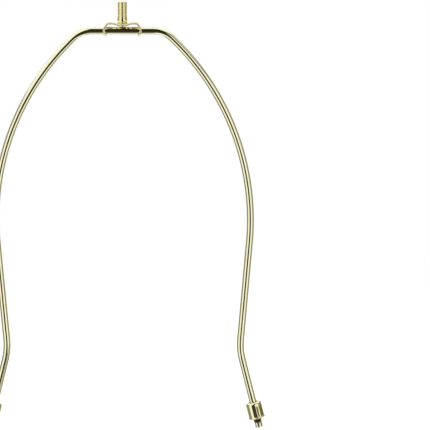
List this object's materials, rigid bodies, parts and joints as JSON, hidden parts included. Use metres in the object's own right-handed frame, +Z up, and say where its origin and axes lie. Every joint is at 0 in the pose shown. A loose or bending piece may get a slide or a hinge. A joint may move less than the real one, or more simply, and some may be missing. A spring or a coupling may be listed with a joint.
{
  "type": "lamp harp",
  "caption": "Wire bow that holds a lampshade over a bulb, with a stamped clip and threaded stud that swivel on its top bar, and a sliding sleeve on each splayed leg.",
  "frame": {"origin": "midway between the two leg tips, at the height of their lowest edges", "axes": "+Z up along the bow's middle to the stud, X across the bow through both legs, Y through the thin direction of the bow"},
  "size_m": [0.1876, 0.011, 0.2851],
  "materials": {
    "plated_wire": "polished",
    "plated_sheet": "polished",
    "turned_brass": "polished",
    "plated_sleeve": "polished"
  },
  "bodies": {
    "bow": {"harp_wire": "plated_wire"},
    "swivel": {"swivel_clip": "plated_sheet", "threaded_stud": "turned_brass"},
    "left_slider": {"left_sleeve": "plated_sleeve"},
    "right_slider": {"right_sleeve": "plated_sleeve"}
  },
  "joints": [
    {"name": "clip_swivel", "type": "hinge", "parent": "bow", "child": "swivel", "pos_m": [0, 0, 0.26605], "axis": [1, 0, 0], "continuous": true},
    {"name": "left_sleeve_slide", "type": "slide", "parent": "bow", "child": "left_slider", "axis": [0.2419, 0, 0.9703], "range_m": [-0.0084, 0.029]},
    {"name": "right_sleeve_slide", "type": "slide", "parent": "bow", "child": "right_slider", "axis": [-0.2419, 0, 0.9703], "range_m": [-0.0084, 0.029]}
  ]
}
